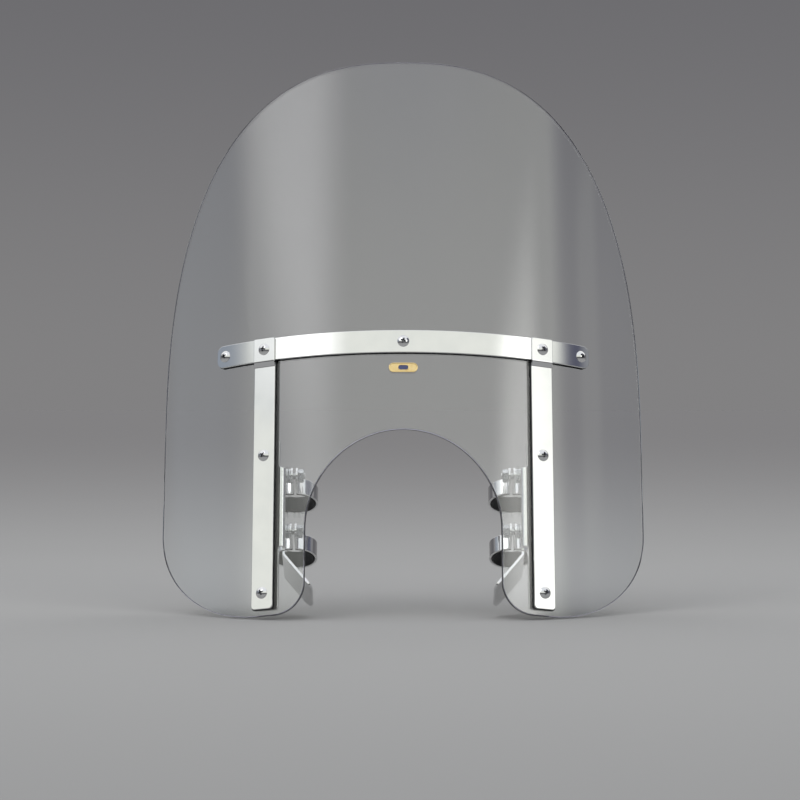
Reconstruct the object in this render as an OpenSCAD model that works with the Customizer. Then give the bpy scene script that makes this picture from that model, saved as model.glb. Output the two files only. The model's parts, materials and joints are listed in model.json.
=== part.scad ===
// Touring windshield for a cruiser motorcycle: a bent clear screen, sandwiched between
// chromed straps, on two side brackets that bolt to four clamps on the fork tubes.
//
// Frame: +X to the left side of the rider, +Y to the rear, +Z up. The origin is the
// midpoint of the rake pivot, the line through the two lower clamp bolts.

/* [Screen] */
// Radius of the outer face of the bent sheet
bend_r = 360; // [350:1:380]
// Thickness of the clear sheet
sheet_t = 4.5; // [3:0.5:5]
// Half of the width of the screen
half_w = 271; // [265:1:280]
// Height of the top edge above the middle of the cross strap
top_h = 332; // [280:1:380]
// Height at which the sides start to draw in, from the cross strap
side_h = -100; // [-120:5:-60]
// Roundness of the top: 2 is an ellipse, more is squarer
top_power = 2.75; // [2:0.05:4]
// Height of the bottom edge, from the cross strap
bottom_h = -300; // [-305:1:-296]
// Radius of the outer lower corners
lobe_r = 110; // [60:5:110]
// Radius of the headlight cutout
cutout_r = 107.5; // [100:0.5:110]
// Height of the centre of the cutout, from the cross strap
cutout_h = -207; // [-215:1:-200]
// Radius of the lower corners of the cutout
cutout_corner_r = 34; // [20:1:34]
// Lean of the screen to the rear, in degrees
rake = 16; // [10:1:22]
// Distance from the front of the screen back to the pivot bolts
pivot_back = 95; // [95:1:100]
// Distance from the cross strap down to the pivot bolts
pivot_down = 192; // [188:1:196]

/* [Straps] */
// Width of the flat bar of every strap
strap_w = 25.4; // [22:0.1:26]
// Thickness of the flat bar
strap_t = 2.5; // [2:0.1:3]
// Thickness of the rubber gasket under each strap
gasket_t = 1; // [0.8:0.1:1.5]
// How far the rear gasket of an upright shows past each edge of its bar
gasket_lap = 2.6; // [0:0.1:3]
// Half of the length of the cross strap, along the bend
cross_arc = 220; // [210:1:240]
// Corner radius at the ends of the cross strap
cross_corner_r = 8; // [2:1:10]
// Angle around the bend from the middle to each upright, in degrees
upright_deg = 25; // [24.5:0.1:25.5]
// Height of the lower end of the uprights, from the cross strap
upright_low_h = -293; // [-295:1:-290]

/* [Fasteners] */
// Radius of the strap screws
screw_r = 3; // [2.5:0.1:3]
// Radius of the truss head
head_r = 6.5; // [5.5:0.1:7]
// Height of the truss head
head_h = 3.2; // [2.5:0.1:4]
// Distance from the end screws to the ends of the cross strap
end_margin = 11; // [10:0.5:14]
// Height of the middle screws of the uprights, from the cross strap
mid_h = -121; // [-125:1:-118]
// Height of the lower screws of the uprights, from the cross strap
low_h = -275; // [-276:1:-272]

/* [Side brackets] */
// Thickness of the bracket plate
plate_t = 3; // [2.5:0.5:3]
// Distance from the middle to the inner face of each side plate
plate_x = 128.5; // [128:0.5:129]
// Height adjustment up or down from rest
lift = 10; // [5:1:10]
// Rake adjustment forward or back from rest, in degrees
tilt = 5; // [2:1:5]
// Distance from the pivot bolt down to the bend of the lower tab, along the fork
tab_drop = 51; // [45:1:55]
// Length of the lower tab
tab_len = 50; // [30:1:50]
// Angle by which the lower tab is bent inwards, in degrees
tab_bend = 38; // [20:1:40]

/* [Fork clamps] */
// Distance from the middle to each fork tube's axis
fork_x = 122; // [121:0.5:122]
// Radius of the fork tube that the liner grips
fork_r = 20.5; // [19:0.5:20.5]
// Lean of the fork tubes to the rear, in degrees
fork_rake = 30; // [28:1:32]
// Distance from a clamp's front bolt back to the fork tube's axis
bolt_ahead = 48; // [48:1:52]
// Distance between the upper and the lower clamp, along the fork
clamp_pitch = 70; // [68:1:74]
// Width of the clamp band
band_w = 19; // [16:1:20]
// Thickness of the clamp band
band_t = 2.5; // [2:0.5:2.5]
// Thickness of the rubber liner
liner_t = 2; // [1.5:0.5:2]
// Radius of the front clamp bolts
bolt_r = 4; // [3:0.5:4]

/* [Badge] */
// Width of the plain badge
badge_w = 32; // [20:1:40]
// Height of the plain badge
badge_h = 11; // [8:1:14]
// Height of the badge's centre, from the cross strap
badge_at = -29.5; // [-40:0.5:-26]

/* [Hidden] */
$fn = 64;

chrome = [0.86, 0.87, 0.89];
steel = [0.70, 0.71, 0.73];
rubber = [0.09, 0.09, 0.10];
nylon = [0.92, 0.91, 0.86];
clear = [0.80, 0.86, 0.90, 0.35];

left = -1;
right = 1;
lower = 0;
upper = 1;

slip = 0.1;                 // play beside each plate that slides or turns
hole_play = 0.25;           // radial play of a screw in a strap
bush_r = 5;                 // radius of the holes in the sheet
bush_play = 0.05;
thread_play = 0.03;         // radial gap between a screw and its nut
pivot_play = 0.08;          // radial running play of the rake pivot
curve_seat = 0.1;           // keeps a flat washer off a hollow face
skin = 0.1;                 // air between a bent gasket and the sheet

inner_r = bend_r - sheet_t;
flat_lift = pow(strap_w / 2, 2) / (2 * (inner_r - gasket_t - strap_t)) + 0.02;
deg_per_mm = 180 / (PI * bend_r);
cross_deg = cross_arc * deg_per_mm;
end_screw_deg = (cross_arc - end_margin) * deg_per_mm;

// Depths from the front face of the sheet, positive to the rear
front_seat = -gasket_t - strap_t;
crossing_front_seat = front_seat - strap_t;
rear_bar = sheet_t + gasket_t + flat_lift;
cross_rear_seat = sheet_t + gasket_t + strap_t + curve_seat;
crossing_rear_seat = rear_bar + 2 * strap_t;
plate_front = rear_bar + strap_t + slip;
upright_rear_seat = plate_front + plate_t + slip;

// The uprights step over the cross strap just below its lower edge
step_top = -strap_w / 2 - 0.6;
step_run = 6;
step_shift = 0.5;

washer_t = 1.2;
washer_r = 6.5;
nut_af = 10;                // across the flats of a strap nut
nut_h = 5.5;
nut_bore = 7.5;             // depth of the blind thread in a cap nut
screw_past = 6.5;           // length of screw inside its cap nut
recess_w = 1.7;
recess_l = 7.2;
recess_d = 1.9;

// Side bracket: flange behind the upright, and the plate that runs back to the clamps
flange_top_h = mid_h + 18;
flange_low_h = upright_low_h;
flange_out = 10;
plate_top_h = -134;
slot_half = screw_r + hole_play;
plate_edge = 4;             // wall left around the slot and the pivot hole
plate_back = 13;            // from the line of the clamp bolts to the plate's back edge

band_r = fork_r + liner_t;
split = 1.5;                // half of the gap between two clamp halves
ear_out = split + band_t;   // from the split plane to the outside of an ear
rear_ear = 38;              // from the fork axis to the end of the rear ears
rear_screw = 31.5;          // from the fork axis to the rear screw
rear_screw_r = 3;
rear_nut_af = 10;
rear_nut_h = 5;
spacer_t = plate_x - fork_x - ear_out - slip;
bolt_head_af = 13;
bolt_head_h = 5.3;
bolt_nut_h = 6.5;
bolt_washer_t = 1.6;
bolt_washer_r = 8;
bolt_past = 1.5;
badge_t = 1.3;

strap_holes = [
    [0, 0],
    [-end_screw_deg, 0], [end_screw_deg, 0],
    [-upright_deg, 0], [upright_deg, 0],
    [-upright_deg, mid_h], [upright_deg, mid_h],
    [-upright_deg, low_h], [upright_deg, low_h]
];

// ---- plain geometry ----

function unit(v) = v / norm(v);

// Points of an arc about c, from angle a to angle b, in n steps
function arc(c, r, a, b, n = 10) =
    [for (i = [0:n]) let (t = a + (b - a) * i / n) c + r * [cos(t), sin(t)]];

// Points that round the corner b between a and c; b[2] is its radius
function corner(a, b, c, n = 6) =
    b[2] == 0 ? [[b[0], b[1]]] :
    let (
        p = [b[0], b[1]],
        u = unit([a[0], a[1]] - p),
        v = unit([c[0], c[1]] - p),
        half = acos(u * v) / 2,
        centre = p + unit(u + v) * b[2] / sin(half),
        from = p + u * b[2] / tan(half) - centre,
        start = atan2(from[1], from[0]),
        turn = sign(cross(p - [a[0], a[1]], [c[0], c[1]] - p)) * (180 - 2 * half)
    )
    arc(centre, b[2], start, start + turn, n);

// Outline through corners given as [x, y, radius]
function rounded(p) = let (n = len(p))
    [for (i = [0:n - 1]) each corner(p[(i + n - 1) % n], p[i], p[(i + 1) % n])];

function power(x, p) = sign(x) * pow(abs(x), p);

module rounded_bar(x0, x1, y0, y1, r0, r1) {
    polygon(rounded([[x0, y0, r0], [x1, y0, r0], [x1, y1, r1], [x0, y1, r1]]));
}

// ---- places ----

// The screen's own frame: x across, y rearward from the apex line, z up the sheet
module screen_frame() {
    rotate([-rake, 0, 0]) translate([0, -pivot_back, pivot_down]) children();
}

// A place on the front face: x along the bend, y inward, z up
module on_bend(deg, h = 0) {
    translate([0, bend_r, h]) rotate([0, 0, deg]) translate([0, -bend_r, 0]) children();
}

// Stands a 2-D outline in x and z up as a slab from depth y0 to depth y1
module slab(y0, y1) {
    translate([0, y1, 0]) rotate([90, 0, 0]) linear_extrude(y1 - y0) children();
}

// A round bar along y from depth y0 to depth y1
module rod(r, y0, y1) {
    translate([0, y0, 0]) rotate([-90, 0, 0]) cylinder(r = r, h = y1 - y0);
}

// A hexagonal bar along y, af across its flats
module hex_rod(af, y0, y1) {
    translate([0, y0, 0]) rotate([-90, 0, 0])
        cylinder(r = af / 2 / cos(30), h = y1 - y0, $fn = 6);
}

// The bent shell between two radii, from height z0 to height z1
module shell(r_in, r_out, z0 = bottom_h - 20, z1 = top_h + 20) {
    translate([0, bend_r, z0]) difference() {
        cylinder(r = r_out, h = z1 - z0, $fn = 256);
        translate([0, 0, -1]) cylinder(r = r_in, h = z1 - z0 + 2, $fn = 256);
    }
}

// A fork's frame: z up the fork, y rearward, its origin on the lower front bolt
module fork_frame(side, level) {
    rotate([-fork_rake, 0, 0]) translate([side * fork_x, 0, level * clamp_pitch])
        scale([side, 1, 1]) children();
}

// A round bar along x, from x0 to x1
module cross_rod(r, x0, x1) {
    translate([x0, 0, 0]) rotate([0, 90, 0]) cylinder(r = r, h = x1 - x0);
}

module cross_hex(af, x0, x1) {
    translate([x0, 0, 0]) rotate([0, 90, 0])
        cylinder(r = af / 2 / cos(30), h = x1 - x0, $fn = 6);
}

// ---- screen ----

function top_curve(n) = [for (i = [0:n]) let (t = 180 * i / n)
    [half_w * power(cos(t), 2 / top_power),
     side_h + (top_h - side_h) * power(sin(t), 2 / top_power)]];

function screen_outline() = let (
    lobe_x = half_w - lobe_r,
    lobe_y = bottom_h + lobe_r,
    in_x = cutout_r + cutout_corner_r,
    in_y = bottom_h + cutout_corner_r
) concat(
    arc([lobe_x, lobe_y], lobe_r, -90, 0, 14),
    top_curve(96),
    arc([-lobe_x, lobe_y], lobe_r, 180, 270, 14),
    arc([-in_x, in_y], cutout_corner_r, 270, 360),
    arc([0, cutout_h], cutout_r, 180, 0, 32),
    arc([in_x, in_y], cutout_corner_r, 180, 270)
);

module screen() {
    color(clear) screen_frame() difference() {
        intersection() {
            shell(inner_r, bend_r);
            slab(-5, bend_r - 100) polygon(screen_outline());
        }
        for (p = strap_holes) on_bend(p[0], p[1]) rod(bush_r, -5, sheet_t + 5);
    }
}

module badge() {
    r = badge_h / 2 - 0.01;
    w = badge_w / 2;
    color("silver") screen_frame() intersection() {
        shell(bend_r, bend_r + badge_t);
        translate([0, 0, badge_at]) slab(-5, 10) rounded_bar(-w, w, -r, r, r - 0.1, r - 0.1);
    }
}

// ---- straps ----

// Everything within the cross strap's two ends
module cross_wedge() {
    reach = 2 * bend_r;
    end = reach * [sin(cross_deg), -cos(cross_deg)];
    translate([0, bend_r, -strap_w]) linear_extrude(2 * strap_w)
        polygon([[0, 0], [-end[0], end[1]], end]);
}

// What is cut away to round the corners of one end of the cross strap
module cross_corners() {
    r = cross_corner_r;
    hw = strap_w / 2;
    on_bend(cross_deg) for (s = [-1, 1]) scale([1, 1, s]) slab(-8, 14)
        polygon(concat([[1, hw + 1]], arc([-r, hw - r], r, 96, -6, 12)));
}

module cross_layer(depth, thick) {
    r_out = bend_r - depth;
    screen_frame() difference() {
        intersection() {
            shell(r_out - thick, r_out, -strap_w / 2, strap_w / 2);
            cross_wedge();
        }
        for (s = [left, right]) scale([s, 1, 1]) cross_corners();
        for (d = [0, -end_screw_deg, end_screw_deg, -upright_deg, upright_deg])
            on_bend(d) rod(screw_r + hole_play, -20, 30);
    }
}

module cross_strap_front() color(chrome) cross_layer(front_seat, strap_t);
module cross_strap_rear() color(chrome) cross_layer(sheet_t + gasket_t, strap_t);
module cross_gasket_front() color(rubber) cross_layer(-gasket_t, gasket_t - skin);
module cross_gasket_rear() color(rubber) cross_layer(sheet_t + skin, gasket_t - skin);

// Edge-on profile of an upright whose lower part lies from depth y0 away from the sheet;
// dir is -1 in front of the sheet and 1 behind it
function upright_profile(y0, dir) = let (
    y1 = y0 + dir * strap_t,
    y2 = y1 + dir * strap_t,
    z1 = step_top,
    z0 = z1 - step_run
) [[y0, upright_low_h], [y0, z0], [y1, z1], [y1, strap_w / 2], [y2, strap_w / 2],
   [y2, z1 - step_shift], [y1, z0 - step_shift], [y1, upright_low_h]];

module upright(side, y0, dir) {
    hw = strap_w / 2;
    color(chrome) screen_frame() on_bend(side * upright_deg) difference() {
        intersection() {
            translate([-hw, 0, 0]) rotate([90, 0, 90])
                linear_extrude(strap_w) polygon(upright_profile(y0, dir));
            slab(-20, 30) rounded_bar(-hw, hw, upright_low_h, hw, 4, 1.5);
        }
        for (h = [0, mid_h, low_h])
            translate([0, 0, h]) rod(screw_r + hole_play, -20, 30);
    }
}

module left_upright_front() upright(left, -gasket_t, -1);
module right_upright_front() upright(right, -gasket_t, -1);
module left_upright_rear() upright(left, rear_bar, 1);
module right_upright_rear() upright(right, rear_bar, 1);

// The gasket of an upright is bent with the sheet and ends below the cross strap
module upright_gasket(side, r_in, r_out, lap) {
    hw = strap_w / 2 + lap;
    color(rubber) screen_frame() difference() {
        intersection() {
            shell(r_in, r_out);
            on_bend(side * upright_deg) slab(-8, 14)
                rounded_bar(-hw, hw, upright_low_h, -strap_w / 2 - 0.5, 4, 0.5);
        }
        on_bend(side * upright_deg) for (h = [mid_h, low_h])
            translate([0, 0, h]) rod(screw_r + hole_play, -20, 30);
    }
}

module front_gasket(side) upright_gasket(side, bend_r + skin, bend_r + gasket_t, 0);
module rear_gasket(side) upright_gasket(side, inner_r - gasket_t, inner_r - skin, gasket_lap);

module left_gasket_front() front_gasket(left);
module right_gasket_front() front_gasket(right);
module left_gasket_rear() rear_gasket(left);
module right_gasket_rear() rear_gasket(right);

// ---- strap fasteners ----

module screen_bushes() {
    color(nylon) screen_frame() for (p = strap_holes) on_bend(p[0], p[1]) difference() {
        rod(bush_r - bush_play, 0.05, sheet_t - 0.05);
        rod(screw_r + bush_play, -1, sheet_t + 1);
    }
}

// Truss-head screw with a cross recess, its head seated at depth front
module strap_screw(front, rear) {
    ball = (head_r * head_r + head_h * head_h) / (2 * head_h);
    difference() {
        intersection() {
            translate([0, front - head_h + ball, 0]) sphere(r = ball);
            rod(head_r + 1, front - head_h - 1, front);
        }
        for (a = [0, 90]) rotate([0, a, 0])
            translate([-recess_l / 2, front - head_h - 1, -recess_w / 2])
                cube([recess_l, recess_d + 1, recess_w]);
    }
    rod(screw_r, front - 0.5, rear + washer_t + screw_past);
}

module cap_nut(rear) {
    seat = rear + washer_t;
    dome = nut_af / 2 - 0.3;
    difference() {
        union() {
            hex_rod(nut_af, seat, seat + nut_h);
            translate([0, seat + nut_h, 0]) sphere(r = dome);
        }
        rod(dome + 1, seat - 9, seat);
        rod(screw_r + thread_play, seat - 1, seat + nut_bore);
    }
}

module strap_washer(rear) {
    difference() {
        rod(washer_r, rear, rear + washer_t);
        rod(screw_r + 0.2, rear - 1, rear + washer_t + 1);
    }
}

module at_cross_screws() {
    for (d = [0, -end_screw_deg, end_screw_deg]) on_bend(d) children();
}

module at_uprights(h) {
    for (s = [left, right]) on_bend(s * upright_deg, h) children();
}

module cross_strap_screws() {
    color(chrome) screen_frame() at_cross_screws() strap_screw(front_seat, cross_rear_seat);
}

module crossing_screws() {
    color(chrome) screen_frame() at_uprights(0)
        strap_screw(crossing_front_seat, crossing_rear_seat);
}

module upright_screws(h) {
    color(chrome) screen_frame() at_uprights(h) strap_screw(front_seat, upright_rear_seat);
}

module mid_upright_screws() upright_screws(mid_h);
module lower_upright_screws() upright_screws(low_h);

module cross_strap_cap_nuts() {
    color(chrome) screen_frame() at_cross_screws() cap_nut(cross_rear_seat);
}

module crossing_cap_nuts() {
    color(chrome) screen_frame() at_uprights(0) cap_nut(crossing_rear_seat);
}

module upright_cap_nuts() {
    color(chrome) screen_frame() for (h = [mid_h, low_h])
        at_uprights(h) cap_nut(upright_rear_seat);
}

module strap_washers() {
    color(steel) screen_frame() {
        at_cross_screws() strap_washer(cross_rear_seat);
        at_uprights(0) strap_washer(crossing_rear_seat);
        for (h = [mid_h, low_h]) at_uprights(h) strap_washer(upright_rear_seat);
    }
}

// ---- side brackets ----

// A point of the upright's frame, x along the bend and y deep, in the screen's x and y
function bend_point(x, y) = [
    x * cos(upright_deg) + (bend_r - y) * sin(upright_deg),
    bend_r + x * sin(upright_deg) - (bend_r - y) * cos(upright_deg)
];

// The place along the flange, at depth y, that is sx from the middle of the screen
function flange_at(sx, y) = bend_point((sx - (bend_r - y) * sin(upright_deg))
                                       / cos(upright_deg), y);

flange_section = [
    bend_point(flange_out, plate_front),
    bend_point(flange_out, plate_front + plate_t),
    flange_at(plate_x + plate_t, plate_front + plate_t),
    flange_at(plate_x, plate_front + plate_t),
    flange_at(plate_x, plate_front)
];

// A point along and behind the line of the clamp bolts, in the screen's y and z
function from_pivot(along, back) = [
    pivot_back + along * sin(fork_rake - rake) + back * cos(fork_rake - rake),
    -pivot_down + along * cos(fork_rake - rake) - back * sin(fork_rake - rake)
];
slot_reach = clamp_pitch * sin(tilt);
plate_back_top = from_pivot(clamp_pitch + 21, slot_reach + bolt_r + plate_edge);
plate_front_y = flange_at(plate_x + plate_t, plate_front)[1];
tab_front = (plate_front_y - from_pivot(-tab_drop, 0)[0]) / cos(fork_rake - rake);
tab_top_front = from_pivot(-tab_drop, tab_front);
tab_top_back = from_pivot(-tab_drop, plate_back);

module side_plate_outline() {
    polygon(rounded([
        [tab_top_front[0], tab_top_front[1], 0],
        [tab_top_back[0], tab_top_back[1], 0],
        [plate_back_top[0], plate_back_top[1], 14],
        [plate_front_y, plate_top_h, 3]
    ]));
}

// The tab below the plate, bent inwards on a line square to the fork
module lower_tab() {
    rotate([-fork_rake, 0, 0]) translate([plate_x + plate_t, 0, -tab_drop])
        rotate([0, tab_bend, 0]) translate([-plate_t, 0, 0])
        rotate([90, 0, 90]) linear_extrude(plate_t) polygon(rounded([
            [tab_front, -tab_len, 8], [plate_back, -tab_len, 14],
            [plate_back, 0, 0], [tab_front, 0, 0]
        ]));
}

module lift_slot(h) {
    for (dz = [-lift, lift]) translate([0, 0, h + dz]) rod(slot_half, 0, 30);
    translate([-slot_half, 0, h - lift]) cube([2 * slot_half, 30, 2 * lift]);
}

// Arc slot for the upper bolt, about the pivot, cut along x
module rake_slot(x0, x1) {
    play = bolt_r + hole_play;
    reach = clamp_pitch + 20;
    for (a = [-tilt, tilt]) rotate([a, 0, 0])
        translate([0, 0, clamp_pitch]) cross_rod(play, x0, x1);
    intersection() {
        difference() {
            cross_rod(clamp_pitch + play, x0, x1);
            cross_rod(clamp_pitch - play, x0 - 1, x1 + 1);
        }
        translate([x0, 0, 0]) rotate([90, 0, 90]) linear_extrude(x1 - x0)
            polygon([[0, 0], reach * [-sin(tilt), cos(tilt)], reach * [sin(tilt), cos(tilt)]]);
    }
}

module side_bracket(side) {
    color(chrome) scale([side, 1, 1]) difference() {
        union() {
            screen_frame() difference() {
                union() {
                    translate([0, 0, flange_low_h])
                        linear_extrude(flange_top_h - flange_low_h) polygon(flange_section);
                    translate([plate_x, 0, 0]) rotate([90, 0, 90]) linear_extrude(plate_t)
                        side_plate_outline();
                }
                on_bend(upright_deg) {
                    lift_slot(mid_h);
                    lift_slot(low_h);
                }
            }
            lower_tab();
        }
        cross_rod(bolt_r + pivot_play, plate_x - 5, plate_x + plate_t + 5);
        rotate([-fork_rake, 0, 0]) rake_slot(plate_x - 5, plate_x + plate_t + 5);
    }
}

module left_side_bracket() side_bracket(left);
module right_side_bracket() side_bracket(right);

// ---- fork clamps ----

// Half of a clamp, drawn on its +x side: half a band with an ear in front and one behind
module clamp_half() {
    hw = band_w / 2;
    difference() {
        union() {
            intersection() {
                translate([0, bolt_ahead, -hw]) difference() {
                    cylinder(r = band_r + band_t, h = band_w);
                    translate([0, 0, -1]) cylinder(r = band_r, h = band_w + 2);
                }
                translate([split, 0, -hw]) cube([100, 2 * bolt_ahead, band_w]);
            }
            translate([split, 0, -hw]) cube([band_t, bolt_ahead - band_r - 0.4, band_w]);
            cross_rod(hw, split, ear_out);
            translate([split, bolt_ahead + band_r + 0.4, -hw])
                cube([band_t, rear_ear - band_r - 0.4, band_w]);
        }
        cross_rod(bolt_r + hole_play, 0, 10);
        translate([0, bolt_ahead + rear_screw, 0]) cross_rod(rear_screw_r + hole_play, 0, 10);
    }
}

module clamp_outer(side, level) {
    color(chrome) fork_frame(side, level) clamp_half();
}

module clamp_inner(side, level) {
    color(chrome) fork_frame(side, level) scale([-1, 1, 1]) clamp_half();
}

module clamp_liner(side, level) {
    hw = band_w / 2;
    color(rubber) fork_frame(side, level) difference() {
        translate([0, bolt_ahead, -hw]) cylinder(r = band_r - 0.02, h = band_w);
        translate([0, bolt_ahead, -hw - 1]) cylinder(r = fork_r, h = band_w + 2);
        translate([-split, bolt_ahead - band_r - 1, -hw - 1])
            cube([2 * split, liner_t + 3, band_w + 2]);
    }
}

module left_upper_clamp_outer() clamp_outer(left, upper);
module left_upper_clamp_inner() clamp_inner(left, upper);
module left_upper_clamp_liner() clamp_liner(left, upper);
module left_lower_clamp_outer() clamp_outer(left, lower);
module left_lower_clamp_inner() clamp_inner(left, lower);
module left_lower_clamp_liner() clamp_liner(left, lower);
module right_upper_clamp_outer() clamp_outer(right, upper);
module right_upper_clamp_inner() clamp_inner(right, upper);
module right_upper_clamp_liner() clamp_liner(right, upper);
module right_lower_clamp_outer() clamp_outer(right, lower);
module right_lower_clamp_inner() clamp_inner(right, lower);
module right_lower_clamp_liner() clamp_liner(right, lower);

module at_clamps(levels = [lower, upper]) {
    for (s = [left, right], v = levels) fork_frame(s, v) children();
}

// Places along x, from the fork tube's axis outwards
plate_out = plate_x - fork_x + plate_t + slip;
head_seat = plate_out + bolt_washer_t;

module clamp_bolt() {
    cross_rod(bolt_r, -ear_out - bolt_nut_h - bolt_past, head_seat + 0.5);
    cross_hex(bolt_head_af, head_seat, head_seat + bolt_head_h);
}

module upper_clamp_bolts() color(chrome) at_clamps([upper]) clamp_bolt();
module lower_pivot_bolts() color(chrome) at_clamps([lower]) clamp_bolt();

module clamp_bolt_nuts() {
    color(steel) at_clamps() difference() {
        cross_hex(bolt_head_af, -ear_out - bolt_nut_h, -ear_out);
        cross_rod(bolt_r + thread_play, -ear_out - bolt_nut_h - 1, -ear_out + 1);
    }
}

module clamp_bolt_washers() {
    color(steel) at_clamps() difference() {
        cross_rod(bolt_washer_r, plate_out, head_seat);
        cross_rod(bolt_r + hole_play, plate_out - 1, head_seat + 1);
    }
}

module clamp_spacers() {
    color(steel) at_clamps() difference() {
        cross_rod(bolt_washer_r, ear_out, ear_out + spacer_t);
        cross_rod(bolt_r + hole_play, ear_out - 1, ear_out + spacer_t + 1);
    }
}

module clamp_rear_screws() {
    color(steel) at_clamps() translate([0, bolt_ahead + rear_screw, 0]) {
        cross_rod(rear_screw_r, -ear_out - rear_nut_h - 1, ear_out + 0.5);
        difference() {
            cross_rod(5, ear_out, ear_out + 6);
            cross_hex(5, ear_out + 3, ear_out + 7);
        }
    }
}

module clamp_rear_nuts() {
    color(steel) at_clamps() translate([0, bolt_ahead + rear_screw, 0]) difference() {
        cross_hex(rear_nut_af, -ear_out - rear_nut_h, -ear_out);
        cross_rod(rear_screw_r + thread_play, -ear_out - rear_nut_h - 1, -ear_out + 1);
    }
}

screen();
badge();
cross_strap_front();
cross_strap_rear();
cross_gasket_front();
cross_gasket_rear();
left_upright_front();
right_upright_front();
left_upright_rear();
right_upright_rear();
left_gasket_front();
right_gasket_front();
left_gasket_rear();
right_gasket_rear();
screen_bushes();
cross_strap_screws();
crossing_screws();
mid_upright_screws();
lower_upright_screws();
cross_strap_cap_nuts();
crossing_cap_nuts();
upright_cap_nuts();
strap_washers();
left_side_bracket();
right_side_bracket();
left_upper_clamp_outer();
left_upper_clamp_inner();
left_upper_clamp_liner();
left_lower_clamp_outer();
left_lower_clamp_inner();
left_lower_clamp_liner();
right_upper_clamp_outer();
right_upper_clamp_inner();
right_upper_clamp_liner();
right_lower_clamp_outer();
right_lower_clamp_inner();
right_lower_clamp_liner();
upper_clamp_bolts();
lower_pivot_bolts();
clamp_bolt_nuts();
clamp_bolt_washers();
clamp_spacers();
clamp_rear_screws();
clamp_rear_nuts();
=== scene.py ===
import json
import math

import bmesh
import bpy
import numpy as np
from mathutils.geometry import tessellate_polygon
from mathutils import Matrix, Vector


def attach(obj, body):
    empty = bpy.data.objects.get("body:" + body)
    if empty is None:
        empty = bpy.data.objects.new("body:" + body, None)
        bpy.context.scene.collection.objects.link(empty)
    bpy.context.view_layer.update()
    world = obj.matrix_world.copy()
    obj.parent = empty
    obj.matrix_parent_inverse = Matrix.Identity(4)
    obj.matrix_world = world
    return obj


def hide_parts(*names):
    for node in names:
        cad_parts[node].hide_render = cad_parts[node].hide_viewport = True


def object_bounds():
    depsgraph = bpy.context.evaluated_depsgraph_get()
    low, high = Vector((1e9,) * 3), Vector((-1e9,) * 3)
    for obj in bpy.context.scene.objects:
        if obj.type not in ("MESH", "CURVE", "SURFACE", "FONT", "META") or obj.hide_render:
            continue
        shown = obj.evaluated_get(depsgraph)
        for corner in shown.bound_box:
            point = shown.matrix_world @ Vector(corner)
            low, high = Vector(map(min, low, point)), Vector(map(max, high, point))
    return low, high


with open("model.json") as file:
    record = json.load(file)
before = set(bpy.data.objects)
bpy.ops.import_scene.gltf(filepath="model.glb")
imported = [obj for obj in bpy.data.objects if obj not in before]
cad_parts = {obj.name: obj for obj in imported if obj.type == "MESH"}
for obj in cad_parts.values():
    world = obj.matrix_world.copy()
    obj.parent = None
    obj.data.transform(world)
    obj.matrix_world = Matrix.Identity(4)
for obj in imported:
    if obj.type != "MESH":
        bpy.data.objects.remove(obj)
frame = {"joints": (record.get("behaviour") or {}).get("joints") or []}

cad_box = [list(corner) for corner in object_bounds()]
MM = 0.001

# ---- driving dimensions, in millimetres and degrees, as in the CAD source ----

BEND_R = 360.0
SHEET_T = 4.5
HALF_W = 271.0
TOP_H = 332.0
SIDE_H = -100.0
TOP_POWER = 2.75
BOTTOM_H = -300.0
LOBE_R = 110.0
CUTOUT_R = 107.5
CUTOUT_H = -207.0
CUTOUT_CORNER_R = 34.0
PIVOT_BACK = 95.0
PIVOT_DOWN = 192.0

STRAP_W = 25.4
STRAP_T = 2.5
GASKET_T = 1.0
GASKET_LAP = 2.6
SKIN = 0.1
CROSS_ARC = 220.0
CROSS_CORNER_R = 8.0
END_MARGIN = 11.0
UPRIGHT_DEG = 25.0
UPRIGHT_LOW = -293.0
MID_H = -121.0
LOW_H = -275.0
FLAT_LIFT = 0.25
CURVE_SEAT = 0.1

SCREW_R = 3.0
HEAD_R = 6.5
HEAD_H = 3.2
HEAD_LIP = 0.45
RECESS_DEEP = 2.3
RECESS_REACH = 4.1
HOLE_PLAY = 0.25
BUSH_R = 5.0
WASHER_T = 1.2
WASHER_R = 6.5
NUT_AF = 10.0
NUT_H = 5.5
SCREW_PAST = 6.5

PLATE_T = 3.0
PLATE_X = 128.5
PLATE_BACK = 13.0
LIFT = 10.0
TILT = 5.0
TAB_DROP = 51.0
TAB_LEN = 50.0
TAB_BEND = 38.0
SLIP = 0.1

FORK_X = 122.0
FORK_R = 20.5
FORK_RAKE = 30.0
BOLT_AHEAD = 48.0
CLAMP_PITCH = 70.0
BAND_W = 19.0
BAND_T = 2.5
LINER_T = 2.0
SPLIT = 1.5
BOLT_R = 4.0
BOLT_AF = 13.0
BOLT_HEAD_H = 5.3
BOLT_NUT_H = 6.5
BOLT_WASHER_T = 1.6
BOLT_WASHER_R = 8.0
BOLT_PAST = 1.5
REAR_SCREW = 31.5
REAR_EAR = 38.0
REAR_NUT_H = 5.0

BADGE_W = 32.0
BADGE_H = 11.0
BADGE_AT = -29.5
BADGE_T = 1.3

slide = next(j for j in frame["joints"] if j["name"] == "height_slide")
RAKE = math.degrees(math.asin(slide["axis"][1]))
DEG_PER_MM = 180 / (math.pi * BEND_R)
END_DEG = (CROSS_ARC - END_MARGIN) * DEG_PER_MM

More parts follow.
